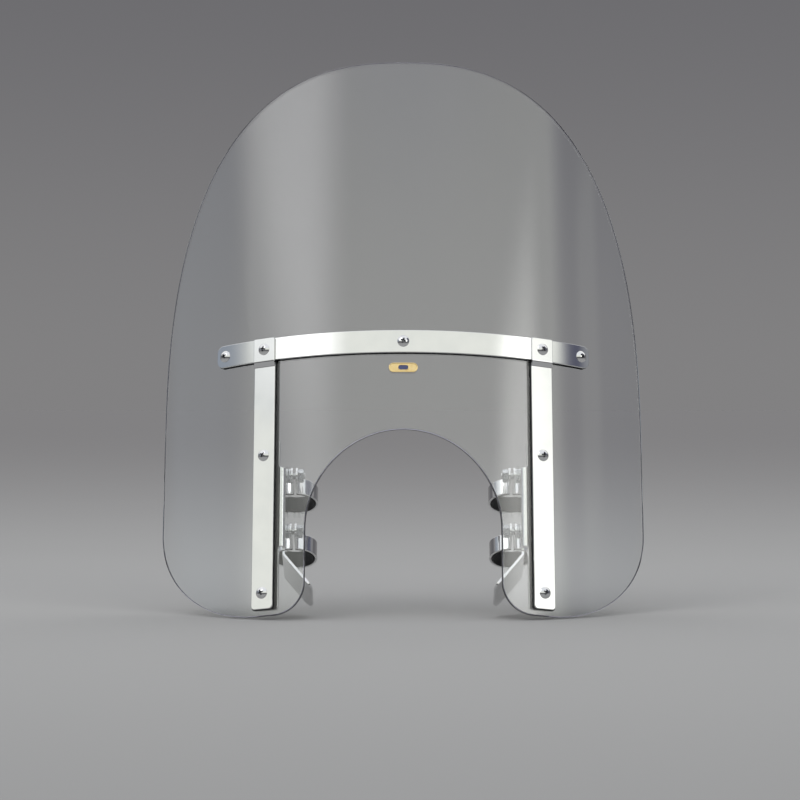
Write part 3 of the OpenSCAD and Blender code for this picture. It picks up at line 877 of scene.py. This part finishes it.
def make_strap_fasteners():
    cross = STRAP_HOLES[:3]
    crossing = STRAP_HOLES[3:5]
    middle = STRAP_HOLES[5:7]
    low = STRAP_HOLES[7:9]
    reach = WASHER_T + SCREW_PAST
    groups = (
        ("cross_strap_screws", cross, FRONT_SEAT, CROSS_REAR_SEAT, (20, 65, 38)),
        ("crossing_screws", crossing, FRONT_SEAT - STRAP_T, CROSSING_REAR_SEAT, (12, 50)),
        ("mid_upright_screws", middle, FRONT_SEAT, UPRIGHT_REAR_SEAT, (33, 5)),
        ("lower_upright_screws", low, FRONT_SEAT, UPRIGHT_REAR_SEAT, (70, 25)),
    )
    for name, holes, front, rear, turns in groups:
        screw = truss_screw(rear + reach - front)
        shape = repeated(screw, crossed_places(holes, front, turns))
        made = piece(f"{name}_set", shape, CHROME, "windshield", "chrome", name, sharp=28)
        shade_recesses(made, screw, len(holes))
    nut = cap_nut()
    stacks = (
        ("cross_strap_cap_nuts", cross, CROSS_REAR_SEAT),
        ("crossing_cap_nuts", crossing, CROSSING_REAR_SEAT),
        ("upright_cap_nuts", middle + low, UPRIGHT_REAR_SEAT),
    )
    washers = []
    nut_turns = range(7, 60, 13)
    for name, holes, rear in stacks:
        shape = repeated(nut, crossed_places(holes, rear + WASHER_T, nut_turns))
        piece(f"{name}_set", shape, CHROME, "windshield", "chrome", name, sharp=28)
        washers += crossed_places(holes, rear)
    washer = ring(SCREW_R + 0.2, WASHER_R, 0, WASHER_T)
    piece("strap_washer_set", repeated(washer, washers), ZINC,
          "windshield", "zinc_steel", "strap_washers")
    bush = ring(SCREW_R + 0.05, BUSH_R - 0.05, 0.05, SHEET_T - 0.05, 0.3)
    piece("screen_bush_set", repeated(bush, crossed_places(STRAP_HOLES, 0)), NYLON,
          "windshield", "white_nylon", "screen_bushes")


make_strap_fasteners()

# ---- badge ----


def make_badge():
    """A plain oval badge: a gilt plate with a raised rim and a small enamel field."""
    path = bend_path(BEND_R, 4.0, 0.5)
    middle = path.length / 2

    def oval(half_w, half_h):
        return bar(middle - half_w, middle + half_w, BADGE_AT - half_h, BADGE_AT + half_h,
                   half_h - 0.1)

    hw, hh = BADGE_W / 2, BADGE_H / 2 - HAIR
    plate = pressed([oval(hw - 0.3, hh - 0.3)], 0.0, BADGE_T - 0.5, 0.2, path)
    rim = pressed([oval(hw, hh), oval(hw - 1.2, hh - 1.2)], 0.1, BADGE_T, 0.4, path, 4)
    bezel = pressed([oval(6.2, 3.2), oval(5.4, 2.4)], 0.1, BADGE_T - 0.1, 0.3, path, 4)
    field = pressed([oval(5.5, 2.5)], 0.1, BADGE_T - 0.35, 0.2, path, 4)
    gilt_shape = joined([plate, rim, bezel])
    made = piece("plain_badge", moved(joined([gilt_shape, field]), SCREEN), GILT,
                 "windshield", "badge_metal", "badge")
    made.data.materials.append(ENAMEL)
    for polygon in made.data.polygons[len(gilt_shape[1]):]:
        polygon.material_index = 1


make_badge()

# ---- side brackets ----


def bend_point(x, y):
    """A point of the upright's frame, in the screen's x and y."""
    a = math.radians(UPRIGHT_DEG)
    return (x * math.cos(a) + (BEND_R - y) * math.sin(a),
            BEND_R + x * math.sin(a) - (BEND_R - y) * math.cos(a))


def from_pivot(along, back):
    """A point along and behind the line of the clamp bolts, in the screen's y and z."""
    a = math.radians(FORK_RAKE - RAKE)
    return (PIVOT_BACK + along * math.sin(a) + back * math.cos(a),
            -PIVOT_DOWN + along * math.cos(a) - back * math.sin(a))


def side_bracket():
    """The +x bracket: a flange, a bend, a plate, and below it a tab bent inwards."""
    bend_r, flange_out, plate_run = 3.2, 10.0, 90
    y_mid = PLATE_FRONT + PLATE_T / 2
    x_mid = PLATE_X + PLATE_T / 2
    a = math.radians(UPRIGHT_DEG)
    start = bend_point(flange_out, y_mid)
    corner_x = (x_mid - (BEND_R - y_mid) * math.sin(a)) / math.cos(a)
    corner = bend_point(corner_x, y_mid)
    swing = 90 + UPRIGHT_DEG
    ease = bend_r * math.tan(math.radians(swing / 2))
    flange = flange_out - corner_x - ease
    path = Path(start[0], start[1], 180 + UPRIGHT_DEG).run(flange)
    path.arc(bend_r, -swing)
    plate_start, plate_y = path.length, corner[1] + ease
    path.run(plate_run)

    def on_plate(y, z, r=0):
        return (plate_start + y - plate_y, z, r)

    def back_of(y, along):
        """How far a point y deep in the screen's frame lies behind the bolts' line."""
        a = math.radians(FORK_RAKE - RAKE)
        return (y - PIVOT_BACK - along * math.sin(a)) / math.cos(a)

    slot_reach = CLAMP_PITCH * math.sin(math.radians(TILT))
    # The tops of the flange and of the plate, and the plate's margins past its arc slot
    top_h, plate_top, above, behind = MID_H + 18, -134.0, 21, BOLT_R + 4
    seam = 5 - TAB_DROP
    seam_front = from_pivot(seam, back_of(plate_y + 0.2, seam))
    outline = rounded([
        (0, UPRIGHT_LOW, 3), (flange - 0.5, UPRIGHT_LOW, 2),
        (flange - 0.5, seam_front[1] + 3, 2.5),
        on_plate(seam_front[0], seam_front[1] + 3, 2), on_plate(*seam_front),
        on_plate(*from_pivot(seam, PLATE_BACK)),
        on_plate(*from_pivot(CLAMP_PITCH + above, slot_reach + behind), 14),
        on_plate(plate_y + 1, plate_top + 0.5, 2),
        (flange - 0.5, plate_top, 3), (flange - 0.5, top_h, 4), (0, top_h, 4),
    ])
    screw_half = SCREW_R + HOLE_PLAY
    slots = [[(flange_out - dz, h) for dz, h in upright_slot(h, screw_half)]
             for h in (MID_H, LOW_H)]
    pivot = on_plate(PIVOT_BACK, -PIVOT_DOWN)
    loops = [outline, *slots, hole(pivot[0], pivot[1], BOLT_R + 0.08, 40),
             arc_slot(pivot[0], pivot[1], 90 - (FORK_RAKE - RAKE), BOLT_R + HOLE_PLAY)]
    plate = pressed(loops, -PLATE_T / 2, PLATE_T / 2, PLATE_EDGE, path)

    lead, tab_r, half_t = 10.0, 4.0, PLATE_T / 2 - HAIR
    tab_ease = tab_r * math.tan(math.radians(TAB_BEND / 2))
    corner_at = half_t * math.tan(math.radians(TAB_BEND / 2)) - TAB_DROP
    down = Path(x_mid, corner_at + lead, -90).run(lead - tab_ease).arc(tab_r, -TAB_BEND)
    down.run(TAB_LEN - 0.5 - tab_ease)
    front = back_of(plate_y + 0.5, -TAB_DROP)
    tab = pressed([bar(0, down.length, front, PLATE_BACK - 2 * HAIR, 0.6, 8.0, 14.0, 0.6)],
                  -half_t, half_t, PLATE_EDGE, down)
    plate, tab = moved(plate, SCREEN), moved(tab, turn("x", -FORK_RAKE) @ TAB_PLANE)
    return carved(plate, ("UNION", tab))


def upright_slot(h, half):
    """Points (across, height) of a slot that stands upright, centred on height h."""
    return [*arc(0, h + LIFT, half, 0, 180, 12), *arc(0, h - LIFT, half, 180, 360, 12)]


def arc_slot(cx, cy, lean, half):
    """A slot along an arc about (cx, cy), for the upper bolt to swing in."""
    far, near = CLAMP_PITCH + half, CLAMP_PITCH - half
    points = arc(cx, cy, far, lean - TILT, lean + TILT, 12)
    for angle, start in ((lean + TILT, lean + TILT), (lean - TILT, lean - TILT + 180)):
        t = math.radians(angle)
        end = arc(cx + CLAMP_PITCH * math.cos(t), cy + CLAMP_PITCH * math.sin(t), half,
                  start, start + 180, 12)
        points += end[1:-1]
        if angle > lean:
            points += arc(cx, cy, near, lean + TILT, lean - TILT, 12)
    return points


def make_side_brackets():
    bracket = side_bracket()
    for side, hand in ((-1, "left"), (1, "right")):
        name = f"{hand}_side_bracket"
        piece(f"{name}_plate", moved(bracket, sided(side)), CHROME,
              "side_brackets", "chrome", name)


make_side_brackets()

# ---- fork clamps ----


def clamp_path():
    """Half of a clamp: an ear, a bend, half a band, a bend and an ear."""
    middle = SPLIT + BAND_T / 2
    band, bend = FORK_R + LINER_T + BAND_T / 2, 3.0
    drop = math.sqrt((band + bend) ** 2 - (middle + bend) ** 2)
    lean = math.degrees(math.asin((middle + bend) / (band + bend)))
    path = Path(middle, -BAND_W / 2, 90).run(BOLT_AHEAD - drop + BAND_W / 2)
    path.arc(bend, lean - 90, 9).arc(band, 180 - 2 * lean, 4).arc(bend, lean - 90, 9)
    return path.run(REAR_EAR - drop)


def clamp_half():
    path = clamp_path()
    hw = BAND_W / 2
    loops = [
        bar(0, path.length, -hw, hw, hw - 0.05, 3.5, 3.5, hw - 0.05),
        hole(hw, 0, BOLT_R + HOLE_PLAY),
        hole(path.length - (REAR_EAR - REAR_SCREW), 0, SCREW_R + HOLE_PLAY),
    ]
    return pressed(loops, -BAND_T / 2, BAND_T / 2, PLATE_EDGE, path)


def clamp_liner():
    radius = FORK_R + LINER_T / 2 - HAIR
    gap = math.degrees(math.asin(SPLIT / radius))
    a = math.radians(gap - 90)
    path = Path(radius * math.cos(a), BOLT_AHEAD + radius * math.sin(a), gap)
    path.arc(radius, 360 - 2 * gap, 5)
    hw = BAND_W / 2
    outline = bar(0, path.length, -hw, hw, 1.0)
    half_t = LINER_T / 2 - HAIR
    return pressed([outline], -half_t, half_t, 0.4, path)


def hex_nut(af, bore, y0, y1):
    """A nut about the y axis, its corners and its bore eased."""
    corner, flat, fall, ease = corner_of(af), af / 2 - 0.1, 0.9, 0.4
    body = [(bore + ease, y0), (flat, y0), (corner, y0 + fall), (corner, y1 - fall),
            (flat, y1), (bore + ease, y1), (bore, y1 - ease), (bore, y0 + ease)]
    return carved(lathe(body, 64), ("INTERSECT", hex_bar(af, y0 - 1, y1 + 1)))


def clamp_bolt():
    """A hex bolt along y, its head outboard (+y)."""
    tip = -EAR_OUT - BOLT_NUT_H - BOLT_PAST
    shank = moved(threaded(BOLT_R, 1.25, -HEAD_SEAT - 0.5, -tip, bare=8), turn("z", 180))
    corner, flat, top = corner_of(BOLT_AF), BOLT_AF / 2 - 0.2, HEAD_SEAT + BOLT_HEAD_H
    body = [(0, HEAD_SEAT), (flat, HEAD_SEAT), (flat, HEAD_SEAT + 0.4),
            (corner, HEAD_SEAT + 0.41), (corner, top - 1.1), (flat, top - 0.1),
            (flat - 0.7, top), (0, top)]
    head = carved(lathe(body, 64), ("INTERSECT", hex_bar(BOLT_AF, HEAD_SEAT - 1, top + 1)))
    return joined([shank, head])


def rear_screw():
    """A socket-head screw along y, its head outboard (+y)."""
    head_r, head_h, socket_af, past_nut = 5.0, 6.0, 5.0, 1
    top, tip = EAR_OUT + head_h, -EAR_OUT - REAR_NUT_H - past_nut
    shank = moved(threaded(SCREW_R, 1.0, -EAR_OUT - 0.5, -tip, bare=3), turn("z", 180))
    body = [(0, EAR_OUT), (head_r - 0.3, EAR_OUT), (head_r, EAR_OUT + 0.3),
            (head_r, top - 0.6), (head_r - 0.6, top), (0, top)]
    socket = hex_bar(socket_af, top - head_h / 2, top + 1)
    head = carved(lathe(body, 48), ("DIFFERENCE", socket))
    return joined([shank, head])


def make_clamps():
    half, liner = clamp_half(), clamp_liner()
    for side, hand in ((-1, "left"), (1, "right")):
        for level, tier in ((0, "lower"), (1, "upper")):
            name, place = f"{hand}_{tier}_clamp", on_fork(side, level)
            for where, flip in (("outer", 1), ("inner", -1)):
                piece(f"{name}_{where}_half", moved(half, place @ sided(flip)), CHROME,
                      "fork_clamps", "chrome", f"{name}_{where}")
            piece(f"{name}_liner_sleeve", moved(liner, place), RUBBER,
                  "fork_clamps", "black_rubber", f"{name}_liner")


def make_clamp_fasteners():
    rear = [m @ shift(0, BOLT_AHEAD + REAR_SCREW, 0) @ ALONG_X for m in CLAMP_PLACES]
    front = [m @ ALONG_X for m in CLAMP_PLACES]
    bolt = clamp_bolt()
    piece("lower_pivot_bolt_set", repeated(bolt, [front[0], front[2]]), CHROME,
          "fork_clamps", "chrome", "lower_pivot_bolts", sharp=28)
    piece("upper_clamp_bolt_set", repeated(bolt, [front[1], front[3]]), CHROME,
          "fork_clamps", "chrome", "upper_clamp_bolts", sharp=28)
    rings = (
        ("clamp_spacers", ring(BOLT_R + 0.25, BOLT_WASHER_R, EAR_OUT,
                               PLATE_X - FORK_X - SLIP, 0.3)),
        ("clamp_bolt_washers", ring(BOLT_R + 0.25, BOLT_WASHER_R, PLATE_OUT, HEAD_SEAT)),
        ("clamp_bolt_nuts", hex_nut(BOLT_AF, BOLT_R, -EAR_OUT - BOLT_NUT_H, -EAR_OUT)),
    )
    for name, shape in rings:
        piece(f"{name}_set", repeated(shape, front), ZINC, "fork_clamps", "zinc_steel", name)
    piece("clamp_rear_screw_set", repeated(rear_screw(), rear), ZINC,
          "fork_clamps", "zinc_steel", "clamp_rear_screws", sharp=28)
    nut = hex_nut(10.0, SCREW_R, -EAR_OUT - REAR_NUT_H, -EAR_OUT)
    piece("clamp_rear_nut_set", repeated(nut, rear), ZINC,
          "fork_clamps", "zinc_steel", "clamp_rear_nuts", sharp=28)


make_clamps()
make_clamp_fasteners()

# ---- floor and studio light ----

BACKDROP = (0.150, 0.148, 0.157)
# The radiance at the horizon, behind the object
HORIZON = (0.222, 0.219, 0.222)
# The floor's near colours, which mottle it, and its far ones, whose radiance in this light
# equals what stands behind them
FLOOR_NEAR = ((0.406, 0.403, 0.400), (0.420, 0.417, 0.414))
FLOOR_BACK = (0.240, 0.233, 0.234)
FLOOR_FRONT = (0.151, 0.149, 0.153)
# The azimuths of the dark in front, behind the camera
FRONT = (-105, -45, 45, 105)

# Soft patches laid over the backdrop in turn. Each begins, is full, starts to fade and
# ends at four azimuths, from straight behind the camera and positive to +X, then at four
# elevations, and has a radiance.
STUDIO = (
    # the horizon and the ceiling
    ((-361, -360, 360, 361), (-92, -91, 0, 10), HORIZON),
    ((-361, -360, 360, 361), (17, 36, 91, 92), (0.94, 0.96, 1.0)),
    # behind the camera: the dark, and a broad soft box over it
    (FRONT, (-92, -91, 9, 18), (0.14, 0.14, 0.145)),
    ((-80, -57, 63, 72), (14, 21, 33, 42), (0.96, 0.98, 0.92)),
    # on the left: a dim panel, a small one, and a tall soft box
    ((-112, -98, -80, -58), (6, 14, 24, 34), (0.33, 0.37, 0.43)),
    ((-70, -65, -52, -44), (24.5, 25, 26, 30), (0.77, 0.80, 0.79)),
    ((-88, -50, -43, -22), (24, 31, 60, 75), (2.1, 2.1, 2.1)),
    # on the right: a low soft box, a dark panel, and a dim one within it
    ((35, 47, 51, 61), (8, 16, 26.5, 31.5), (2.6, 2.6, 2.5)),
    ((63, 74, 98, 112), (6, 12, 44, 56), (0.11, 0.115, 0.16)),
    ((74, 79, 83, 88), (14, 18, 23, 26), (0.30, 0.31, 0.33)),
    # behind the object, one on each side
    ((-168, -152, -124, -106), (14, 24, 58, 74), (1.15, 1.15, 1.14)),
    ((106, 124, 152, 168), (14, 24, 58, 74), (1.15, 1.15, 1.14)),
)


def maths(tree, operation, *values):
    node = tree.nodes.new("ShaderNodeMath")
    node.operation = operation
    for socket, value in zip(node.inputs, values):
        if isinstance(value, (int, float)):
            socket.default_value = value
        else:
            tree.links.new(value, socket)
    return node.outputs[0]


def ramp_between(tree, value, start, end, low=0.0, high=1.0):
    node = tree.nodes.new("ShaderNodeMapRange")
    node.interpolation_type = "SMOOTHSTEP"
    for name, number in (("From Min", start), ("From Max", end),
                         ("To Min", low), ("To Max", high)):
        node.inputs[name].default_value = number
    tree.links.new(value, node.inputs["Value"])
    return node.outputs[0]


def mixed(tree, factor, a, b):
    """A colour between a and b, each a colour or a socket."""
    node = tree.nodes.new("ShaderNodeMix")
    node.data_type = "RGBA"
    tree.links.new(factor, node.inputs[0])
    for socket, colour in ((node.inputs[6], a), (node.inputs[7], b)):
        if isinstance(colour, tuple):
            socket.default_value = (*colour, 1)
        else:
            tree.links.new(colour, socket)
    return node.outputs[2]


def azimuth_of(tree, direction):
    """The azimuth of a direction, in degrees from -Y, and its z."""
    axes = tree.nodes.new("ShaderNodeSeparateXYZ")
    tree.links.new(direction, axes.inputs["Vector"])
    forward = maths(tree, "MULTIPLY", axes.outputs["Y"], -1)
    angle = maths(tree, "ARCTAN2", axes.outputs["X"], forward)
    return maths(tree, "MULTIPLY", angle, 180 / math.pi), axes.outputs["Z"]


def band_of(tree, value, edges):
    """1 between the middle two of four edges, easing to 0 at the outer two."""
    begin, full, fade, end = edges
    rise = ramp_between(tree, value, begin, full)
    return maths(tree, "MULTIPLY", rise, ramp_between(tree, value, fade, end, 1.0, 0.0))


def make_floor():
    """A plain pale floor that fades into the backdrop behind and the dark in front."""
    reach, gap, halfway, near_end, far_end = 60.0, 0.0005, 3.0, 0.9, 0.12
    mat, tree, shader = principled("studio_floor", Roughness=1.0, Specular_IOR_Level=0.0)
    where = tree.nodes.new("ShaderNodeTexCoord")
    length = tree.nodes.new("ShaderNodeVectorMath")
    length.operation = "LENGTH"
    tree.links.new(where.outputs["Object"], length.inputs[0])
    azimuth = azimuth_of(tree, where.outputs["Object"])[0]
    in_front = band_of(tree, azimuth, FRONT)
    far = mixed(tree, in_front, FLOOR_BACK, FLOOR_FRONT)
    beyond = maths(tree, "ADD", length.outputs["Value"], halfway)
    closeness = maths(tree, "DIVIDE", halfway, beyond)
    fade = ramp_between(tree, closeness, near_end, far_end)
    near = mixed(tree, noise(tree, 1.2), *FLOOR_NEAR)
    tree.links.new(mixed(tree, fade, near, far), shader.inputs["Base Color"])
    z = cad_box[0][2] - gap
    mesh = bpy.data.meshes.new("floor")
    corners = [(-reach, -reach, z), (reach, -reach, z), (reach, reach, z), (-reach, reach, z)]
    mesh.from_pydata(corners, [], [(0, 1, 2, 3)])
    mesh.materials.append(mat)
    floor = bpy.data.objects.new("floor", mesh)
    bpy.context.scene.collection.objects.link(floor)


def make_world():
    """A plain studio: an even backdrop with the soft patches of STUDIO over it."""
    world = bpy.data.worlds.new("studio")
    bpy.context.scene.world = world
    world.use_nodes = True
    tree = world.node_tree
    where = tree.nodes.new("ShaderNodeTexCoord")
    azimuth, z = azimuth_of(tree, where.outputs["Generated"])
    elevation = maths(tree, "MULTIPLY", maths(tree, "ARCSINE", z), 180 / math.pi)
    colour = BACKDROP
    for across, up, radiance in STUDIO:
        patch = maths(tree, "MULTIPLY", band_of(tree, azimuth, across),
                           band_of(tree, elevation, up))
        colour = mixed(tree, patch, colour, radiance)
    tree.links.new(colour, tree.nodes["Background"].inputs["Color"])


make_floor()
make_world()
bpy.context.scene.view_settings.view_transform = "Standard"
